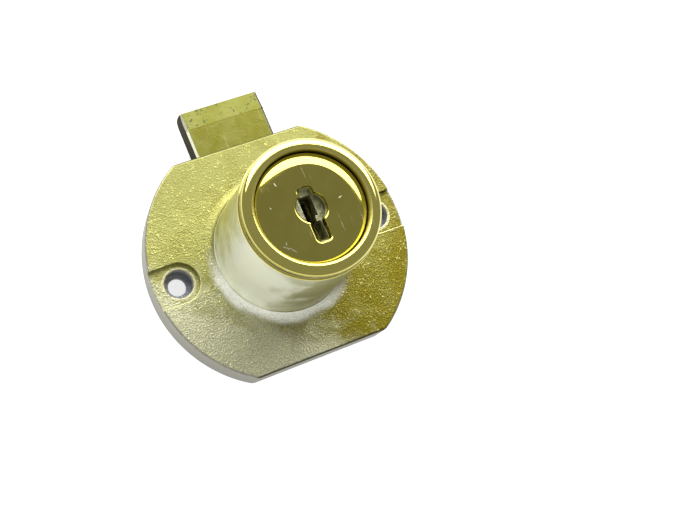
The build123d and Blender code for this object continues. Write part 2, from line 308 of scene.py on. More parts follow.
def makeGrainGroup():
    # sandy skin of a casting: small uneven bumps with fine grit, and a fleck mask on some of them, which the
    # cast and plug finishes paint as bright painted glints
    group, entry, leave = newGroup("castGrain", ("Height", "Flecks", "Mottle"), "Size")
    place, size = entry.outputs["Vector"], entry.outputs["Size"]
    drift = noiseNode(group, place, times(group, size, castGrain["drift"]))
    offset = vectorNode(group, "SUBTRACT", {0: drift.outputs["Color"], 1: (0.5, 0.5, 0.5)})
    offset = vectorNode(group, "SCALE", {0: offset.outputs[0], "Scale": castGrain["warp"]})
    moved = vectorNode(group, "ADD", {0: place, 1: offset.outputs[0]})
    cells = addNode(group, "ShaderNodeTexVoronoi", {"Vector": moved.outputs[0], "Scale": size})
    distance = cells.outputs["Distance"]
    chance = addNode(group, "ShaderNodeSeparateColor", {0: cells.outputs["Color"]}).outputs[0]
    grit = noiseNode(group, place, times(group, size, castGrain["gritScale"]), Detail=3.0, Roughness=0.65)
    swell = noiseNode(group, place, times(group, size, castGrain["swellScale"]), Detail=2.0)
    zone = zoneReader(group, castGrain)
    raised = times(group, zone(distance, "cellEdge"), zone(chance, "raisedChance"), castGrain["cellShare"])
    height = plus(group, raised, times(group, grit.outputs["Fac"], castGrain["gritShare"]),
                  times(group, swell.outputs["Fac"], castGrain["swellShare"]))
    flecks = times(group, zone(distance, "fleckEdge"), zone(chance, "fleckChance"),
                   zone(swell.outputs["Fac"], "patch"))
    group.links.new(height, leave.inputs["Height"])
    group.links.new(flecks, leave.inputs["Flecks"])
    group.links.new(zone(grit.outputs["Fac"], "mottle"), leave.inputs["Mottle"])
    return group


# each direction has an angle in radians and a shift along it
scratchSet = {
    "turns": ((0.5, 3.1), (1.9, 7.7), (2.7, 1.3)), "sideShift": 0.6,
    "stretch": (3200.0, 140.0, 900.0), "line": (0.70, 0.76), "patchSize": 330.0, "patch": (0.45, 0.62),
}


def makeScratchGroup():
    # thin marks in three directions, broken up so that they start and end
    group, entry, leave = newGroup("fineScratches", ("Height", "Marks"), "Amount")
    place = entry.outputs["Vector"]
    lines = []
    for angle, shift in scratchSet["turns"]:
        placed = {"Vector": place, "Rotation": (0.0, 0.0, angle), "Scale": scratchSet["stretch"],
                  "Location": (shift, shift * scratchSet["sideShift"], 0.0)}
        turned = addNode(group, "ShaderNodeMapping", placed)
        streaks = noiseNode(group, turned.outputs[0], 1.0, Detail=1.0)
        lines.append(ramp(group, streaks.outputs["Fac"], *scratchSet["line"]))
    patches = noiseNode(group, place, scratchSet["patchSize"], Detail=2.0)
    shown = ramp(group, patches.outputs["Fac"], *scratchSet["patch"])
    marks = times(group, highest(group, *lines), shown, entry.outputs["Amount"])
    group.links.new(marks, leave.inputs["Marks"])
    group.links.new(mathNode(group, "SUBTRACT", 1.0, marks), leave.inputs["Height"])
    return group


blotchSet = {"cloud": {"Detail": 4.0, "Roughness": 0.62, "Distortion": 0.6}, "edge": (0.3, 0.72)}


def makeBlotchGroup():
    # large soft patches, as in plating and old lacquer
    group, entry, leave = newGroup("softBlotches", ("Mask",), "Size")
    cloud = noiseNode(group, entry.outputs["Vector"], entry.outputs["Size"], **blotchSet["cloud"])
    group.links.new(ramp(group, cloud.outputs["Fac"], *blotchSet["edge"]), leave.inputs["Mask"])
    return group


placeGroup = makePlaceGroup()
grainGroup = makeGrainGroup()
scratchGroup = makeScratchGroup()
blotchGroup = makeBlotchGroup()


def newMaterial(name):
    material = bpy.data.materials.new(name)
    material.use_nodes = True
    tree = material.node_tree
    tree.nodes.clear()
    output = tree.nodes.new("ShaderNodeOutputMaterial")
    shader = tree.nodes.new("ShaderNodeBsdfPrincipled")
    tree.links.new(shader.outputs[0], output.inputs["Surface"])
    coords = tree.nodes.new("ShaderNodeTexCoord")
    return material, tree, shader, coords.outputs["Object"]


def groupNode(tree, group, vector, values=None):
    node = addNode(tree, "ShaderNodeGroup", node_tree=group)
    fillSockets(tree, node, {"Vector": vector, **(values or {})})
    return node


def addBump(tree, shader, height, relief):
    strength, distance = relief
    values = {"Height": height, "Strength": strength, "Distance": distance * mm}
    bump = addNode(tree, "ShaderNodeBump", values)
    tree.links.new(bump.outputs["Normal"], shader.inputs["Normal"])


def slant(tree, place, lean):
    across, along = place.outputs["Across"], place.outputs["Along"]
    return plus(tree, times(tree, across, lean[0]), times(tree, along, lean[1]))


def paintLayers(tree, color, tones, masks):
    for name, mask in masks.items():
        color = mixColor(tree, mask, color, tones[name])
    return color


# materials: every relief is a strength and a depth in millimetres

castFinish = {
    "yellow": (0.22, 0.18, 0.006, 1.0),
    "pale": (0.41, 0.405, 0.125, 1.0),
    "silver": (0.72, 0.72, 0.50, 1.0),
    "glintFleck": (0.90, 0.82, 0.30, 1.0),
    "glintShare": 0.45,
    "barrel": (0.50, 0.49, 0.22, 1.0),
    "paleLitBarrel": (0.93, 0.95, 0.76, 1.0),
    "foot": (0.98, 0.99, 0.86, 1.0),
    "side": (0.38, 0.37, 0.30, 1.0),
    "rim": (0.09, 0.085, 0.035, 1.0),
    "bore": (0.38, 0.39, 0.41, 1.0),
    "boreRing": (0.70, 0.67, 0.40, 1.0),
    "slotHighlight": (0.92, 0.87, 0.42, 1.0),
    "mouth": (0.17, 0.14, 0.035, 1.0),
    "grainSize": 2000.0,
    "blotchSize": 160.0,
    "roughness": 0.45,
    "metallic": 0.9,
    "coat": {"Coat Weight": 0.2, "Coat Roughness": 0.35, "Coat IOR": 1.5},
    "relief": (1.0, 0.09),
}
# where the tones of the casting fade in and out: heights and distances in millimetres, the rest shares
castZones = {
    "barrel": (0.95, 1.05), "pale": (0.6, 1.15),
    "foot": (14.6, 12.9), "footTop": (1.04, 0.98), "footLow": (-0.3, -0.05),
    "footSide": (0.1, 0.75), "footSpeckle": (0.1, 0.8, 0.82, 1.0),
    "side": (23.35, 23.55), "sideTop": (-0.85, -1.0),
    "rim": (19.85, 20.0), "rimLow": (-0.65, -0.5),
    "bore": (2.75, 2.65), "boreTop": (-0.9, -1.15),
    "boreRing": (3.05, 2.9), "boreRingLow": (-1.05, -0.95),
    "mouth": (10.5, 10.0), "mouthLow": (2.0, 3.0),
    "litPlate": (0.0, 1.3), "worn": (10.5, 20.0), "wornSpeckle": (0.15, 0.9, 0.62, 1.0),
    "slotHighlight": (0.26, 0.12), "slotEdgeLow": (-0.35, -0.2), "slotEdgeAlong": (0.5, -2.5),
    "calm": (18.0, 4.0, 0.35, 1.0),
}
# how each tone grows across and along the case, and how much the patches and masks change it
castLean = {"litPlate": (-0.018, 0.02), "worn": (-0.6, -0.8), "pale": (-0.9, -0.42), "foot": (-0.5, -0.87)}
castShare = {
    "litPlateBase": 0.12, "litPlatePatch": 0.6, "litPlateMottle": 0.55, "wornPatch": 5.0, "palePatch": 0.3,
    "footPatch": 0.9, "barrelRough": -0.1, "footMetal": -0.6, "wornDull": 0.12, "paleDull": 0.4,
    "barrelGrain": 0.1,
}
castScrew = {"across": 19.05, "slotRim": 3.55}


def fromScrewHole(tree, place):
    values = {0: absolute(tree, place.outputs["Across"]), 1: place.outputs["Along"]}
    spot = addNode(tree, "ShaderNodeCombineXYZ", values)
    reach = vectorNode(tree, "DISTANCE", {0: spot.outputs[0], 1: (castScrew["across"], 0.0, 0.0)})
    return reach.outputs["Value"]


def fromSlotRim(tree, place):
    beyond = mathNode(tree, "SUBTRACT", absolute(tree, place.outputs["Across"]), castScrew["across"])
    beyond = mathNode(tree, "MINIMUM", beyond, 0.0)
    spot = addNode(tree, "ShaderNodeCombineXYZ", {0: beyond, 1: place.outputs["Along"]})
    reach = vectorNode(tree, "LENGTH", {0: spot.outputs[0]}).outputs["Value"]
    return absolute(tree, mathNode(tree, "SUBTRACT", reach, castScrew["slotRim"]))


def makeCastPlated():
    material, tree, shader, coords = newMaterial("castPlated")
    place = groupNode(tree, placeGroup, coords)
    grain = groupNode(tree, grainGroup, coords, {"Size": castFinish["grainSize"]})
    patches = groupNode(tree, blotchGroup, coords, {"Size": castFinish["blotchSize"]}).outputs["Mask"]
    radius, height, along = (place.outputs[label] for label in ("Radius", "Height", "Along"))
    mottle = grain.outputs["Mottle"]
    zone = zoneReader(tree, castZones)
    # painted light and shade: the plating is painted pale and light over the upper left, and deep yellow and
    # darker at the lower right, where the barrel's shade falls; patches and mottle vary it at random
    litPlate = plus(tree, slant(tree, place, castLean["litPlate"]), castShare["litPlateBase"],
                times(tree, patches, castShare["litPlatePatch"]), times(tree, mottle, castShare["litPlateMottle"]))
    color = mixColor(tree, zone(litPlate, "litPlate"), castFinish["yellow"], castFinish["pale"])
    # towards the lower left it has worn to a greyer metal
    worn = plus(tree, slant(tree, place, castLean["worn"]), times(tree, patches, castShare["wornPatch"]))
    isWorn = times(tree, zone(worn, "worn"), zone(mottle, "wornSpeckle"))
    color = mixColor(tree, isWorn, color, castFinish["silver"])
    # painted glints: some grains of the casting are painted bright gold
    bright = mixColor(tree, castFinish["glintShare"], color, castFinish["glintFleck"])
    color = mixColor(tree, grain.outputs["Flecks"], color, bright)
    # painted highlight: the barrel is painted pale on its left side; its foot is a pale cast band, painted
    # near white on the lower side as painted light where the barrel shades it
    isBarrel = zone(height, "barrel")
    facing = mathNode(tree, "DIVIDE", slant(tree, place, castLean["pale"]), radius)
    isPaleLit = zone(plus(tree, facing, times(tree, patches, castShare["palePatch"])), "pale")
    barrelColor = mixColor(tree, isPaleLit, castFinish["barrel"], castFinish["paleLitBarrel"])
    ragged = plus(tree, radius, times(tree, patches, castShare["footPatch"]))
    lower = mathNode(tree, "DIVIDE", slant(tree, place, castLean["foot"]), radius)
    isLitFoot = times(tree, zone(ragged, "foot"), zone(height, "footTop"), zone(height, "footLow"))
    isLitFoot = times(tree, isLitFoot, zone(lower, "footSide"), zone(mottle, "footSpeckle"))
    isSide = highest(tree, zone(radius, "side"), zone(height, "sideTop"))
    # painted shade: the top edge of each flat end is painted near black
    isShadedRim = times(tree, zone(absolute(tree, along), "rim"), zone(height, "rimLow"))
    # painted highlight: the lower edge of each screw slot is painted bright
    isSlotHighlight = times(tree, zone(fromSlotRim(tree, place), "slotHighlight"), zone(height, "slotEdgeLow"))
    isSlotHighlight = times(tree, isSlotHighlight, zone(along, "slotEdgeAlong"))
    fromHole = fromScrewHole(tree, place)
    onRing = times(tree, zone(fromHole, "boreRing"), zone(height, "boreRingLow"))
    isBore = times(tree, zone(fromHole, "bore"), zone(height, "boreTop"))
    # painted shade: the inside of the barrel's mouth is painted dark olive
    isShadedMouth = times(tree, zone(radius, "mouth"), zone(height, "mouthLow"))
    color = mixColor(tree, isBarrel, color, barrelColor)
    masks = {"foot": isLitFoot, "side": isSide, "rim": isShadedRim, "slotHighlight": isSlotHighlight,
             "boreRing": onRing, "bore": isBore, "mouth": isShadedMouth}
    tree.links.new(paintLayers(tree, color, castFinish, masks), shader.inputs["Base Color"])
    rough = level(tree, isBarrel, castShare["barrelRough"], castFinish["roughness"])
    # bare and chalky places, and the barrel's side with the painted highlight, are less of a mirror
    metal = level(tree, isLitFoot, castShare["footMetal"], castFinish["metallic"])
    metal = mathNode(tree, "SUBTRACT", metal, times(tree, isWorn, castShare["wornDull"]), True)
    metal = mathNode(tree, "SUBTRACT", metal, times(tree, isBarrel, isPaleLit, castShare["paleDull"]), True)
    fillSockets(tree, shader, {"Roughness": rough, "Metallic": metal, **castFinish["coat"]})
    # the grain is calmer near the upper flat, and almost gone on the barrel
    calm = times(tree, zone(along, "calm"), mathNode(tree, "SUBTRACT", 1.0, isBarrel))
    calm = plus(tree, calm, times(tree, isBarrel, castShare["barrelGrain"]))
    addBump(tree, shader, times(tree, grain.outputs["Height"], calm), castFinish["relief"])
    return material


brassTones = {
    "deep": (0.54, 0.47, 0.02, 1.0),
    "light": (0.60, 0.53, 0.045, 1.0),
    "ring": (0.84, 0.75, 0.11, 1.0),
    "gapShade": (0.22, 0.17, 0.03, 1.0),
    "sideShade": (0.16, 0.14, 0.03, 1.0),
    "nick": (0.90, 0.86, 0.60, 1.0),
    "wall": (0.86, 0.78, 0.24, 1.0),
    "scratches": 0.5,
    "blotchSize": 210.0,
    "roughness": 0.09,
    "wornRoughness": 0.35,
    "coat": {"Coat Roughness": 0.04, "Coat IOR": 1.9},
    "relief": (0.25, 0.03),
}
# where the painted shade in the gap, the bright wall and the painted shade on the ring's side begin and end:
# radii and heights in millimetres
brassZones = {
    "ring": (9.5, 9.8),
    "gapIn": (9.0, 9.1), "gapOut": (9.5, 9.42), "gapTop": (23.95, 23.75),
    "wallIn": (9.3, 9.36), "wallOut": (10.0, 9.5), "wallLow": (23.5, 23.7),
    "sideTop": (24.5, 24.3), "sideLow": (22.85, 22.95), "sideOut": (11.2, 11.3, 0.0, 0.7),
}
# short dents in the cup: place, angle in degrees and length, the rest in millimetres
brassNicks = [(-6.5, -4.9, -40, 1.3), (-5.6, -5.6, -49, 1.4), (-6.3, -4.3, -96, 0.7), (-4.3, 5.2, -76, 0.8),
              (5.0, 0.0, 14, 0.8), (-6.5, 1.8, -57, 0.5)]
nickShape = {"gritSize": 2600.0, "ragged": 0.22, "end": 0.2, "side": (0.24, 0.15)}


def nickMask(tree, coords, x, y, angle, length):
    placed = {"Vector": coords, "Location": (x * mm, y * mm, 0.0), "Scale": (mm, mm, 1.0),
              "Rotation": (0.0, 0.0, math.radians(angle))}
    local = addNode(tree, "ShaderNodeMapping", placed, vector_type="TEXTURE")
    axes = addNode(tree, "ShaderNodeSeparateXYZ", {0: local.outputs[0]})
    grit = noiseNode(tree, coords, nickShape["gritSize"], Detail=2.0)
    side = plus(tree, absolute(tree, axes.outputs[1]), times(tree, grit.outputs["Fac"], nickShape["ragged"]))
    inLine = ramp(tree, absolute(tree, axes.outputs[0]), length / 2, length / 2 - nickShape["end"])
    return times(tree, inLine, ramp(tree, side, *nickShape["side"]))


def makePolishedBrass():
    material, tree, shader, coords = newMaterial("polishedBrass")
    scratches = groupNode(tree, scratchGroup, coords, {"Amount": brassTones["scratches"]})
    patches = groupNode(tree, blotchGroup, coords, {"Size": brassTones["blotchSize"]}).outputs["Mask"]
    place = groupNode(tree, placeGroup, coords)
    radius, height = place.outputs["Radius"], place.outputs["Height"]
    zone = zoneReader(tree, brassZones)
    nicks = [nickMask(tree, coords, *nick) for nick in brassNicks]
    marks = highest(tree, scratches.outputs["Marks"], *nicks)
    # painted shade: the gap round the cup is painted dark, the wall above it is bright, and the ring's side
    # is painted dark
    inGap = times(tree, zone(radius, "gapIn"), zone(radius, "gapOut"), zone(height, "gapTop"))
    onWall = times(tree, zone(radius, "wallIn"), zone(radius, "wallOut"), zone(height, "wallLow"))
    onSide = times(tree, zone(height, "sideTop"), zone(height, "sideLow"), zone(radius, "sideOut"))
    masks = {"ring": zone(radius, "ring"), "gapShade": inGap, "sideShade": onSide, "nick": marks, "wall": onWall}
    color = mixColor(tree, patches, brassTones["deep"], brassTones["light"])
    tree.links.new(paintLayers(tree, color, brassTones, masks), shader.inputs["Base Color"])
    worn = highest(tree, marks, inGap, onWall)
    rough = level(tree, worn, brassTones["wornRoughness"], brassTones["roughness"])
    coat = mathNode(tree, "SUBTRACT", 1.0, highest(tree, inGap, onWall, onSide), True)
    values = {"Roughness": rough, "Metallic": 1.0, "Coat Weight": coat, **brassTones["coat"]}
    fillSockets(tree, shader, values)
    addBump(tree, shader, scratches.outputs["Height"], brassTones["relief"])
    return material


boltFinish = {
    "face": (0.215, 0.205, 0.026, 1.0),
    "paleFace": (0.27, 0.265, 0.062, 1.0),
    "nose": (0.075, 0.09, 0.035, 1.0),
    "line": (0.16, 0.15, 0.03, 1.0),
    "mark": (0.8, 0.78, 0.5, 1.0),
    "edge": (0.92, 0.92, 0.72, 1.0),
    "shade": (0.05, 0.045, 0.02, 1.0),
    "side": (0.055, 0.048, 0.022, 1.0),
    "lineAt": 25.7,
    "scratches": 0.12,
    "blotchSize": 300.0,
    "grainSize": 1900.0,
    "roughness": 0.4,
    "sideRoughness": 0.35,
    "metallic": 0.9,
    "relief": (0.3, 0.06),
}
# nose and line are measured from the line across the face, the rest from the barrel's axis
boltZones = {
    "nose": (-0.05, 0.05), "noseSpeckle": (0.0, 0.6, 0.35, 1.0),
    "line": (0.16, 0.06), "lineFade": (-6.0, 1.0, 0.1, 0.6),
    "edge": (7.08, 7.16), "edgeLow": (-1.5, -1.3),
    "side": (7.5, 7.54), "sideTop": (-1.5, -1.9),
}


def makeSatinPlated():
    material, tree, shader, coords = newMaterial("satinPlated")
    place = groupNode(tree, placeGroup, coords)
    height, signedAcross = place.outputs["Height"], place.outputs["Across"]
    across = absolute(tree, signedAcross)
    beyond = mathNode(tree, "SUBTRACT", place.outputs["Along"], boltFinish["lineAt"])
    marks = groupNode(tree, scratchGroup, coords, {"Amount": boltFinish["scratches"]}).outputs["Marks"]
    patches = groupNode(tree, blotchGroup, coords, {"Size": boltFinish["blotchSize"]}).outputs["Mask"]
    grain = groupNode(tree, grainGroup, coords, {"Size": boltFinish["grainSize"]})
    zone = zoneReader(tree, boltZones)
    # a fine line parts the nose from the rest of the face; the nose is painted darker and speckled, as
    # painted shade on its sloping face
    isShadedNose = times(tree, zone(beyond, "nose"), zone(grain.outputs["Flecks"], "noseSpeckle"))
    isLine = times(tree, zone(absolute(tree, beyond), "line"), zone(signedAcross, "lineFade"))
    # both long edges are bevelled and painted bright as painted highlights, but the one on +X lies in shade
    isEdgeHighlight = times(tree, zone(across, "edge"), zone(height, "edgeLow"))
    isShade = times(tree, zone(signedAcross, "edge"), zone(height, "edgeLow"))
    # painted shade: the flat sides of the bolt are painted near black
    isSide = highest(tree, zone(across, "side"), zone(height, "sideTop"))
    masks = {"nose": isShadedNose, "line": isLine, "mark": marks, "edge": isEdgeHighlight, "shade": isShade, "side": isSide}
    color = mixColor(tree, patches, boltFinish["face"], boltFinish["paleFace"])
    tree.links.new(paintLayers(tree, color, boltFinish, masks), shader.inputs["Base Color"])
    rough = level(tree, isSide, boltFinish["sideRoughness"], boltFinish["roughness"])
    fillSockets(tree, shader, {"Roughness": rough, "Metallic": boltFinish["metallic"]})
    addBump(tree, shader, grain.outputs["Height"], boltFinish["relief"])
    return material


plugFinish = {
    "dark": (0.24, 0.24, 0.12, 1.0),
    "light": (0.96, 0.97, 0.62, 1.0),
    "glintSpeck": (0.78, 0.79, 0.52, 1.0),
    "blotchSize": 420.0,
    "grainSize": 1500.0,
    "roughness": 0.4,
    "metallic": 0.9,
    "relief": (0.6, 0.08),
}


def makePlugCast():
    material, tree, shader, coords = newMaterial("plugCast")
    grain = groupNode(tree, grainGroup, coords, {"Size": plugFinish["grainSize"]})
    patches = groupNode(tree, blotchGroup, coords, {"Size": plugFinish["blotchSize"]}).outputs["Mask"]
    # painted light: the plug's tones are painted bright against the shade of the cup, with light specks as
    # painted glints
    color = mixColor(tree, patches, plugFinish["dark"], plugFinish["light"])
    glintSpecks = times(tree, grain.outputs["Flecks"], patches)
    color = mixColor(tree, glintSpecks, color, plugFinish["glintSpeck"])
    fillSockets(tree, shader, {"Base Color": color, "Roughness": plugFinish["roughness"],
                               "Metallic": plugFinish["metallic"]})
    addBump(tree, shader, grain.outputs["Height"], plugFinish["relief"])
    return material


# dark and light tone, and roughness
plainTones = {
    "zincSteel": ((0.34, 0.34, 0.32, 1.0), (0.46, 0.46, 0.42, 1.0), 0.38),
    "springSteel": ((0.26, 0.27, 0.29, 1.0), (0.38, 0.39, 0.41, 1.0), 0.34),
    "waferBrass": ((0.55, 0.42, 0.14, 1.0), (0.66, 0.52, 0.2, 1.0), 0.33),
    "springWire": ((0.45, 0.45, 0.46, 1.0), (0.6, 0.6, 0.6, 1.0), 0.25),
}
plainFinish = {
    "blotchSize": 260.0, "grainSize": 2600.0, "scratches": 0.4, "markLift": 1.4,
    "relief": (0.1, 0.05),
}


def makePlainMetal(name):
    dark, light, roughness = plainTones[name]
    material, tree, shader, coords = newMaterial(name)
    patches = groupNode(tree, blotchGroup, coords, {"Size": plainFinish["blotchSize"]}).outputs["Mask"]
    grain = groupNode(tree, grainGroup, coords, {"Size": plainFinish["grainSize"]})
    marks = groupNode(tree, scratchGroup, coords, {"Amount": plainFinish["scratches"]}).outputs["Marks"]
    color = mixColor(tree, patches, dark, light)
    color = mixColor(tree, marks, color, [min(1.0, part * plainFinish["markLift"]) for part in light])
    fillSockets(tree, shader, {"Base Color": color, "Roughness": roughness, "Metallic": 1.0})
    addBump(tree, shader, grain.outputs["Height"], plainFinish["relief"])
    return material


castPlated = makeCastPlated()
polishedBrass = makePolishedBrass()
satinPlated = makeSatinPlated()
plugCast = makePlugCast()
zincSteel = makePlainMetal("zincSteel")
springSteel = makePlainMetal("springSteel")
waferBrass = makePlainMetal("waferBrass")
springWire = makePlainMetal("springWire")
print("materials ready")


# housing

flange = {
    "radius": 23.7, "flat": 20.2, "thickness": 5.2, "cornerCut": 0.56, "cornerReach": 1.1, "rim": 0.42,
    "draft": 0.1, "sides": 192,
}


def makeRoundPlate(name, low, high, inset=0.0):
    # a disc cut by two flats, its four corners rounded, then drawn up
    sizes = flange
    clearSelection()
    radius, flat = sizes["radius"] - inset, sizes["flat"] - inset
    bpy.ops.mesh.primitive_circle_add(vertices=sizes["sides"], radius=radius * mm, fill_type="NGON",
                                      location=(0, 0, low * mm))
    plate = bpy.context.active_object
    plate.name = name
    bpy.ops.object.transform_apply(location=True, rotation=True, scale=True)
    editAll(plate)
    for up in (1, -1):
        bpy.ops.mesh.select_all(action="SELECT")
        bpy.ops.mesh.bisect(plane_co=(0, up * flat * mm, 0), plane_no=(0, up, 0), clear_outer=True,
                            threshold=1e-7)
    cornerX = math.sqrt(radius * radius - flat * flat)
    corners = [(sx * cornerX, sy * flat) for sx in (-1, 1) for sy in (-1, 1)]

    def fromCorner(spot):
        return min(math.hypot(spot.x - x, spot.y - y) for x, y in corners)

    selectVerts(plate, lambda spot: near < fromCorner(spot) < sizes["cornerReach"])
    bpy.ops.mesh.dissolve_verts()
    selectVerts(plate, lambda spot: fromCorner(spot) < near)
    bpy.ops.mesh.bevel(offset=sizes["cornerCut"] * mm, affect="VERTICES", segments=5)
    raiseFace(high - low)
    return plate


def drawIn(plate, height, amount):
    # the sides of a casting lean in a little towards the back
    editAll(plate)
    selectVerts(plate, lambda spot: abs(spot.z - height) < close)
    share = 1 - amount / flange["radius"]
    bpy.ops.transform.resize(value=(share, share, 1), center_override=(0, 0, 0))
    bpy.ops.object.mode_set(mode="OBJECT")


def roundRim(plate, height, width):
    roundEdges(plate, lambda a, b, edge: max(abs(a.z - height), abs(b.z - height)) < close, width, segments=3)


barrel = {
    "foot": 11.92, "footReach": 1.9, "footHeight": 1.0, "skirt": 0.15, "skirtTop": -0.04, "sunk": -0.6,
    "stepIn": 0.02, "stepLow": 1.03, "stepTop": 1.04, "base": 11.8, "baseIn": 0.005, "baseTop": 1.3,
    "neck": 11.42, "neckStart": 22.3, "neckEdge": (0.06, 0.05), "underBezel": 11.08, "top": 23.93,
    "mouth": 9.9, "mouthFloor": 22.55, "cupBore": 9.25, "ledge": 20.9, "bore": 6.4,
    "chamber": 8.3, "chamberTop": 2.85,
}


def makeBarrel():
    sizes = barrel
    reach, rise, chamber = sizes["footReach"], sizes["footHeight"], sizes["chamber"]
    root = sizes["foot"] + reach
    outer = root + sizes["skirt"]
    edgeIn, edgeDown = sizes["neckEdge"]
    profile = [(outer, sizes["sunk"]), (outer, sizes["skirtTop"])]
    profile += arcPoints((root, rise), (reach, rise), 270, 180, 8)[1:]
    profile += [(sizes["foot"] - sizes["stepIn"], sizes["stepLow"]), (sizes["base"], sizes["stepTop"])]
    profile += [(sizes["base"] - sizes["baseIn"], sizes["baseTop"])]
    profile += [(sizes["neck"], sizes["neckStart"] - edgeDown), (sizes["neck"] - edgeIn, sizes["neckStart"])]
    profile += [(sizes["underBezel"], sizes["neckStart"]), (sizes["underBezel"], sizes["top"])]
    profile += [(sizes["mouth"], sizes["top"]), (sizes["mouth"], sizes["mouthFloor"])]
    profile += [(sizes["cupBore"], sizes["mouthFloor"]), (sizes["cupBore"], sizes["ledge"])]
    profile += [(sizes["bore"], sizes["ledge"]), (sizes["bore"], sizes["chamberTop"])]
    profile += [(chamber, sizes["chamberTop"]), (chamber, sizes["sunk"]), (outer, sizes["sunk"])]
    return spinProfile("barrelRing", profile, steps=160)


screwPlaces = {
    "across": 19.05, "slotHalf": 3.6, "slotDepth": 0.8, "slotReach": 8, "slotHeight": 3, "rim": 0.14,
    "mouth": 2.45, "mouthRound": ((0.25, 0.3), (0.25, 0.02), (0.08, -0.1), (0, -0.3)),
    "web": 1.6, "webTop": -3.1, "webLow": -3.9, "sink": 3.3, "sinkTop": -5.2, "end": -5.5,
}


def makeScrewSlot(side):
    sizes = screwPlaces
    clearSelection()
    bpy.ops.mesh.primitive_circle_add(vertices=72, radius=sizes["slotHalf"] * mm, fill_type="NGON",
                                      location=(side * sizes["across"] * mm, 0, -sizes["slotDepth"] * mm))
    slot = bpy.context.active_object
    bpy.ops.object.transform_apply(location=True, rotation=True, scale=True)
    editAll(slot)
    selectVerts(slot, lambda spot: spot.x * side > sizes["across"] + close)
    bpy.ops.transform.translate(value=(side * sizes["slotReach"] * mm, 0, 0))
    raiseFace(sizes["slotHeight"])
    return slot


def isSlotRim(a, b, edge):
    def onRim(spot):
        sideways = abs(spot.x) - screwPlaces["across"]
        reach = math.hypot(sideways, spot.y) if sideways < 0 else abs(spot.y)
        return abs(spot.z) < close and abs(reach - screwPlaces["slotHalf"]) < 2 * close
    return onRim(a) and onRim(b)


def makeScrewBore(side):
    # from the slot's floor: a rounded mouth, the web that holds the screw's head, and the sink behind it
    sizes = screwPlaces
    mouth, web, sink = sizes["mouth"], sizes["web"], sizes["sink"]
    rounded = [(mouth + out, up - sizes["slotDepth"]) for out, up in sizes["mouthRound"]]
    profile = [(0, rounded[0][1])] + rounded + [(mouth, sizes["webTop"]), (web, sizes["webTop"])]
    profile += [(web, sizes["webLow"]), (sink, sizes["sinkTop"]), (sink, sizes["end"]), (0, sizes["end"])]
    bore = spinProfile("screwBore", profile, steps=72)
    slide(bore, (side * sizes["across"], 0, 0))
    return bore


rivetPlace = {"across": 12.2, "up": 12.6}
cavities = {
    "pit": (8.25, -0.9, 0.2),
    "channel": ((-7.65, -18.1, -6.0), (7.65, 30.0, -0.75)),
    "rivetHole": (1.2, -6.0, -2.0),
    "grooves": ((-4.05, -7.7, 6.0), (4.05, 7.7, 19.4)),
    "track": ((5, 19.5), (7.75, 19.5), (7.75, 20.95), (5, 20.95), (5, 19.5)),
    "trackTurn": {"turn": 208.0, "start": -194.0},
}


def makeHousing():
    body = makeRoundPlate("castHousing", -flange["thickness"], 0.0)
    drawIn(body, -flange["thickness"], flange["draft"])
    roundRim(body, 0.0, flange["rim"])
    combine(body, makeBarrel(), "UNION")
    combine(body, addPost("pit", *cavities["pit"], steps=160), "DIFFERENCE")
    combine(body, addBlock("channel", *cavities["channel"]), "DIFFERENCE")
    for side in (-1, 1):
        combine(body, makeScrewSlot(side), "DIFFERENCE")
        combine(body, makeScrewBore(side), "DIFFERENCE")
        for up in (-1, 1):
            hole = addPost("rivetHole", *cavities["rivetHole"], steps=24)
            slide(hole, (side * rivetPlace["across"], up * rivetPlace["up"], 0))
            combine(body, hole, "DIFFERENCE")
    roundEdges(body, isSlotRim, screwPlaces["rim"], segments=2)
    combine(body, addBlock("grooves", *cavities["grooves"]), "DIFFERENCE")
    track = spinProfile("track", cavities["track"], steps=64, **cavities["trackTurn"])
    combine(body, track, "DIFFERENCE")
    smooth(body, angle=32)
    return body


housing = makeHousing()
finishPiece(housing, "case", castPlated, "housing")
print("housing", len(housing.data.polygons))


# bezel and cup

bezelRing = {
    "outer": 11.52, "inner": 9.4, "sheet": 0.45, "crownAt": 10.0, "crown": 25.1, "shoulder": 24.0,
    "innerRound": 0.6, "legEnd": 22.6, "legRound": 0.1, "skirtInner": 11.12, "skirtEnd": 22.3, "gap": 0.02,
    "bead": 0.24, "beadIn": 0.05, "waist": (0.06, 0.504), "waistTop": 0.72,
}


def makeBezel():
    sizes = bezelRing
    outer, inner, sheet, crownAt = sizes["outer"], sizes["inner"], sizes["sheet"], sizes["crownAt"]
    low, shoulder, crown, legEnd = sizes["skirtEnd"], sizes["shoulder"], sizes["crown"], sizes["legEnd"]
    bead, beadAt, turn, gap = sizes["bead"], outer - sizes["beadIn"], sizes["legRound"], sizes["gap"]
    waistIn, waistUp = sizes["waist"]
    profile = [(sizes["skirtInner"], low + gap), (beadAt, low)]
    profile += arcPoints((beadAt, low + bead), (bead, bead), -90, 70, 6)[1:]
    profile += [(outer - waistIn, low + waistUp), (outer, low + sizes["waistTop"])]
    # the crown lies near the hole: a short round inside it, a long one outside
    profile += arcPoints((crownAt, shoulder), (outer - crownAt, crown - shoulder), 0, 90, 14)
    innerRound = sizes["innerRound"]
    profile += arcPoints((crownAt, crown - innerRound), (crownAt - inner, innerRound), 90, 180, 7)[1:]
    profile += [(inner, legEnd + turn), (inner + turn, legEnd), (inner + sheet, legEnd)]
    profile += [(inner + sheet, shoulder - gap), (sizes["skirtInner"], shoulder - gap)]
    profile += [(sizes["skirtInner"], low + gap)]
    ring = spinProfile("bezelRing", profile, steps=160)
    smooth(ring, angle=50)
    return ring


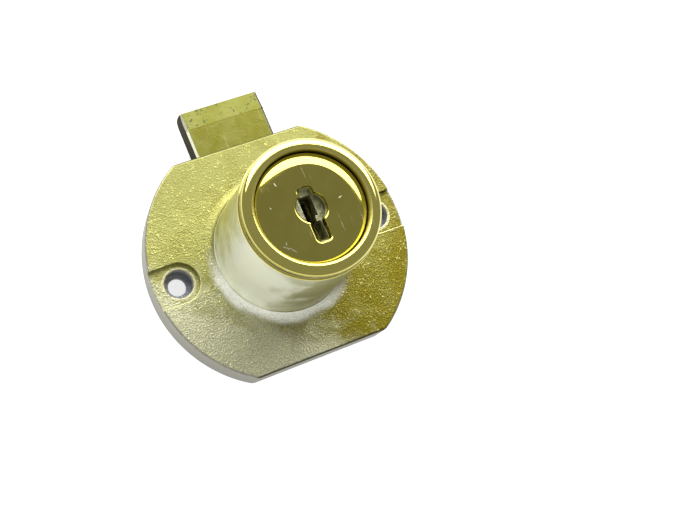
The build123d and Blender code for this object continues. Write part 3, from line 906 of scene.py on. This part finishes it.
# start and slope are the shoulder's angles in degrees, at the flat and at the edge
cup = {
    "radius": 9.2, "flat": 6.9, "top": 24.3, "slope": 21.0, "start": 5.0, "edgeRound": 0.2, "end": 21.8,
    "sheet": 0.5, "under": 22.8, "innerDrop": 0.65, "lip": 0.52,
}
# reach, and an angle in radians, pick out the rim of the keyhole
keyhole = {
    "eye": 2.5, "slotHalf": 1.15, "slotTop": 3.5, "slotBottom": -5.75, "corner": 0.6, "depth": 2,
    "reach": 6.45, "sharpAngle": 0.6,
}


def makeCup():
    sizes = cup
    radius, top, turn, sheet = sizes["radius"], sizes["top"], sizes["edgeRound"], sizes["sheet"]
    first, last = math.radians(sizes["start"]), math.radians(sizes["slope"])
    # the shoulder falls away in one arc, then turns over a small round edge
    reach = radius - turn * (1 - math.sin(last)) - sizes["flat"]
    arc = reach / (math.sin(last) - math.sin(first))
    centre = (sizes["flat"] - arc * math.sin(first), top - arc * math.cos(first))
    shoulder = arcPoints(centre, (arc, arc), 90 - sizes["start"], 90 - sizes["slope"], 8)
    edge = shoulder[-1][1] - turn * math.cos(last)
    profile = [(0, top)] + shoulder
    profile += arcPoints((radius - turn, edge), (turn, turn), 90 - sizes["slope"], 0, 4)[1:]
    under = sizes["under"]
    profile += [(radius, sizes["end"]), (radius - sheet, sizes["end"])]
    profile += [(radius - sheet, under - sizes["innerDrop"]), (sizes["flat"], under), (0, under)]
    disc = spinProfile("plugCup", profile, steps=144)
    editAll(disc)
    selectVerts(disc, lambda spot: math.hypot(spot.x, spot.y) < close)
    bpy.ops.mesh.dissolve_verts()
    bpy.ops.object.mode_set(mode="OBJECT")
    combine(disc, makeKeyholeCutter(), "DIFFERENCE")
    roundEdges(disc, isKeyholeRim, sizes["lip"], segments=4)
    smooth(disc, angle=40)
    return disc


def isKeyholeRim(a, b, edge):
    onTop = min(a.z, b.z) > cup["top"] - close
    inside = max(math.hypot(a.x, a.y), math.hypot(b.x, b.y)) < keyhole["reach"]
    return onTop and inside and len(edge.link_faces) == 2 and edge.calc_face_angle() > keyhole["sharpAngle"]


def makeKeyholeCutter():
    sizes = keyhole
    half = sizes["slotHalf"]
    low, high = cup["top"] - sizes["depth"], cup["top"] + sizes["depth"]
    slot = addBlock("keyhole", (-half, sizes["slotBottom"], low), (half, sizes["slotTop"], high))
    roundUprights(slot, sizes["corner"], segments=5)
    combine(slot, addPost("eye", sizes["eye"], low, high, steps=64), "UNION")
    return slot


bezel = makeBezel()
finishPiece(bezel, "case", polishedBrass, "bezel")
plugCup = makeCup()
finishPiece(plugCup, "plug", polishedBrass, "plug_face")
print("bezel and cup", len(bezel.data.polygons), len(plugCup.data.polygons))


# bolt

boltBar = {
    "half": 7.55, "tail": -9.0, "tip": 29.0, "front": -0.825, "back": -5.125, "ramp": 3.3, "rampTurn": 0.12,
    "drop": 0.35, "edge": 0.45, "nose": 1.4, "tailRound": 1.5, "soft": 0.07,
}
crossSlot = {"half": 6.15, "bottom": 1.75, "top": 7.05, "corner": 1.6, "reach": (-7, 1)}


def isNoseEdge(a, b, edge):
    return min(a.y, b.y) > boltBar["tip"] - 2 * near and max(a.z, b.z) < boltBar["back"] + 2 * near


def isTailCorner(a, b, edge):
    return max(a.y, b.y) < boltBar["tail"] + 2 * near and abs(a.z - b.z) > longEdge


def isLongBoltEdge(a, b, edge):
    onFront = min(a.z, b.z) > boltBar["front"] - boltBar["drop"] - near
    onSide = min(abs(a.x), abs(b.x)) > boltBar["half"] - 2 * near
    return onFront and onSide and abs(a.y - b.y) > longEdge


def makeCrossSlot():
    sizes = crossSlot
    half = sizes["half"]
    low, high = sizes["reach"]
    slot = addBlock("crossSlot", (-half, sizes["bottom"], low), (half, sizes["top"], high))
    roundUprights(slot, sizes["corner"], segments=6)
    return slot


def makeBolt():
    sizes = boltBar
    half, tail, tip, front, back = (sizes[key] for key in ("half", "tail", "tip", "front", "back"))
    bar = addBlock("deadBolt", (-half, tail, back), (half, tip, front))
    editAll(bar)
    # two cuts let the face turn down to the nose in a narrow strip
    for reach in (sizes["ramp"], sizes["ramp"] + sizes["rampTurn"]):
        bpy.ops.mesh.select_all(action="SELECT")
        bpy.ops.mesh.bisect(plane_co=(0, (tip - reach) * mm, 0), plane_no=(0, 1, 0), threshold=1e-7)
    selectVerts(bar, lambda spot: spot.y > tip - 2 * near and spot.z > front - 2 * near)
    bpy.ops.transform.translate(value=(0, 0, -sizes["drop"] * mm))
    bpy.ops.object.mode_set(mode="OBJECT")
    roundEdges(bar, isNoseEdge, sizes["nose"], segments=5)
    roundEdges(bar, isTailCorner, sizes["tailRound"], segments=5)
    roundEdges(bar, isLongBoltEdge, sizes["edge"], segments=1)
    combine(bar, makeCrossSlot(), "DIFFERENCE")
    softenEdges(bar, sizes["soft"], angle=25)
    smooth(bar, angle=30)
    return bar


bolt = makeBolt()
finishPiece(bolt, "bolt", satinPlated, "bolt")
print("bolt", len(bolt.data.polygons))


# back plate and rivets

backPlate = {"low": -6.2, "high": -5.2, "inset": 0.1, "edge": 0.18, "rivetHole": 1.25, "cut": (-7, -4)}
rivet = {"shank": 1.19, "end": (0.09, 0.15), "head": 2.0, "rim": (0.03, 0.05), "low": -6.7, "top": -2.05}


def makeBackPlate():
    sizes = backPlate
    plate = makeRoundPlate("rearPlate", sizes["low"], sizes["high"], sizes["inset"])
    roundRim(plate, sizes["low"], sizes["edge"])
    roundRim(plate, sizes["high"], sizes["edge"])
    for side in (-1, 1):
        hole = addPost("screwClear", screwPlaces["sink"], *sizes["cut"], steps=64)
        slide(hole, (side * screwPlaces["across"], 0, 0))
        combine(plate, hole, "DIFFERENCE")
        for up in (-1, 1):
            hole = addPost("rivetClear", sizes["rivetHole"], *sizes["cut"], steps=32)
            slide(hole, (side * rivetPlace["across"], up * rivetPlace["up"], 0))
            combine(plate, hole, "DIFFERENCE")
    smooth(plate, angle=32)
    return plate


def makeRivets():
    sizes = rivet
    top, plate, shank, head = sizes["top"], backPlate["low"], sizes["shank"], sizes["head"]
    endIn, endDown = sizes["end"]
    rimIn, rimDown = sizes["rim"]
    profile = [(0, top), (shank - endIn, top), (shank, top - endDown), (shank, plate)]
    profile += [(head - rimIn, plate), (head, plate - rimDown)]
    profile += arcPoints((0, plate - rimDown), (head, plate - rimDown - sizes["low"]), 0, -90, 8)[1:]
    first = spinProfile("plateRivets", profile, steps=40)
    slide(first, (-rivetPlace["across"], -rivetPlace["up"], 0))
    copies = []
    for x, y in ((2, 0), (0, 2), (2, 2)):
        other = first.copy()
        other.data = first.data.copy()
        bpy.context.collection.objects.link(other)
        slide(other, (x * rivetPlace["across"], y * rivetPlace["up"], 0))
        copies.append(other)
    pick(first)
    for other in copies:
        other.select_set(True)
    bpy.ops.object.join()
    smooth(first, angle=40)
    return first


rearPlate = makeBackPlate()
finishPiece(rearPlate, "case", zincSteel, "back_plate")
plateRivets = makeRivets()
finishPiece(plateRivets, "case", zincSteel, "back_plate_rivets")
print("back plate and rivets", len(rearPlate.data.polygons), len(plateRivets.data.polygons))


# carried-over pieces

keptPieces = {"plug": plugCast, "thrust_washer": springSteel, "retaining_clip": springSteel,
              "crank_pin": zincSteel}
for number in range(1, 6):
    keptPieces[f"wafer_{number}"] = waferBrass
    keptPieces[f"wafer_spring_{number}"] = springWire
for name, material in keptPieces.items():
    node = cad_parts[name]
    mesh = node.data
    if mesh.materials:
        for i in range(len(mesh.materials)):
            mesh.materials[i] = material
    else:
        mesh.materials.append(material)
print("kept pieces", len(keptPieces))


# floor, light and camera

# places and sizes in metres, lens and sensor in millimetres, angles in degrees
studio = {
    "floorLevel": -0.0067,
    "floorSize": 3.0,
    "paper": (0.62, 0.62, 0.62, 1.0),
    "white": (1.0, 1.0, 1.0, 1.0),
    "lift": 0.75,
    "mirrored": 0.5,
    "world": 0.27,
    "aim": (0, 0, 0.01),
    "camera": (-0.06474, -0.03905, 0.21013),
    "turn": (15.391, -15.017, -23.635),
    "lens": 65.16,
    "sensor": 36.0,
    "clip": 0.005,
}
# place, size, radiance, and whether the panel shows in the polished pieces
panels = {
    "windowPanel": ((0.1403, 0.3152, 0.235), (0.8, 0.38), 4.4, True),
    "frontPanel": ((-0.31, -0.22, 0.19), (0.5, 0.3), 3.1, False),
}


def makeFloor():
    # paper that looks brighter to the camera than it lights the lock
    clearSelection()
    bpy.ops.mesh.primitive_plane_add(size=studio["floorSize"], location=(0, 0, studio["floorLevel"]))
    floor = bpy.context.active_object
    floor.name = "paperFloor"
    material = bpy.data.materials.new("whitePaper")
    material.use_nodes = True
    tree = material.node_tree
    tree.nodes.clear()
    output = tree.nodes.new("ShaderNodeOutputMaterial")
    paper = addNode(tree, "ShaderNodeBsdfDiffuse", {"Color": studio["paper"]}).outputs[0]
    lift = addNode(tree, "ShaderNodeEmission", {"Color": studio["white"], "Strength": studio["lift"]})
    both = addNode(tree, "ShaderNodeAddShader", {0: paper, 1: lift.outputs[0]})
    path = tree.nodes.new("ShaderNodeLightPath").outputs
    mirrored = times(tree, path["Is Glossy Ray"], studio["mirrored"])
    seen = highest(tree, path["Is Camera Ray"], mirrored, path["Is Transmission Ray"])
    choose = addNode(tree, "ShaderNodeMixShader", {0: seen, 1: paper, 2: both.outputs[0]})
    tree.links.new(choose.outputs[0], output.inputs["Surface"])
    floor.data.materials.append(material)


def addPanel(name, place, size, radiance, mirrored):
    data = bpy.data.lights.new(name, "AREA")
    data.shape = "RECTANGLE"
    data.size, data.size_y = size
    data.energy = radiance * math.pi * size[0] * size[1]
    panel = bpy.data.objects.new(name, data)
    bpy.context.collection.objects.link(panel)
    panel.location = place
    panel.rotation_euler = (Vector(studio["aim"]) - Vector(place)).to_track_quat("-Z", "Y").to_euler()
    panel.visible_glossy = mirrored


makeFloor()
for name, setting in panels.items():
    addPanel(name, *setting)

world = bpy.data.worlds.new("studioWorld")
bpy.context.scene.world = world
world.use_nodes = True
fillSockets(world.node_tree, world.node_tree.nodes["Background"],
            {"Color": studio["white"], "Strength": studio["world"]})

cameraData = bpy.data.cameras.new("photoCamera")
cameraData.lens = studio["lens"]
cameraData.sensor_width = studio["sensor"]
cameraData.clip_start = studio["clip"]
camera = bpy.data.objects.new("photoCamera", cameraData)
bpy.context.collection.objects.link(camera)
camera.location = studio["camera"]
camera.rotation_euler = [math.radians(angle) for angle in studio["turn"]]
bpy.context.scene.camera = camera
bpy.context.scene.view_settings.view_transform = "Standard"
print("studio ready")

clearSelection()
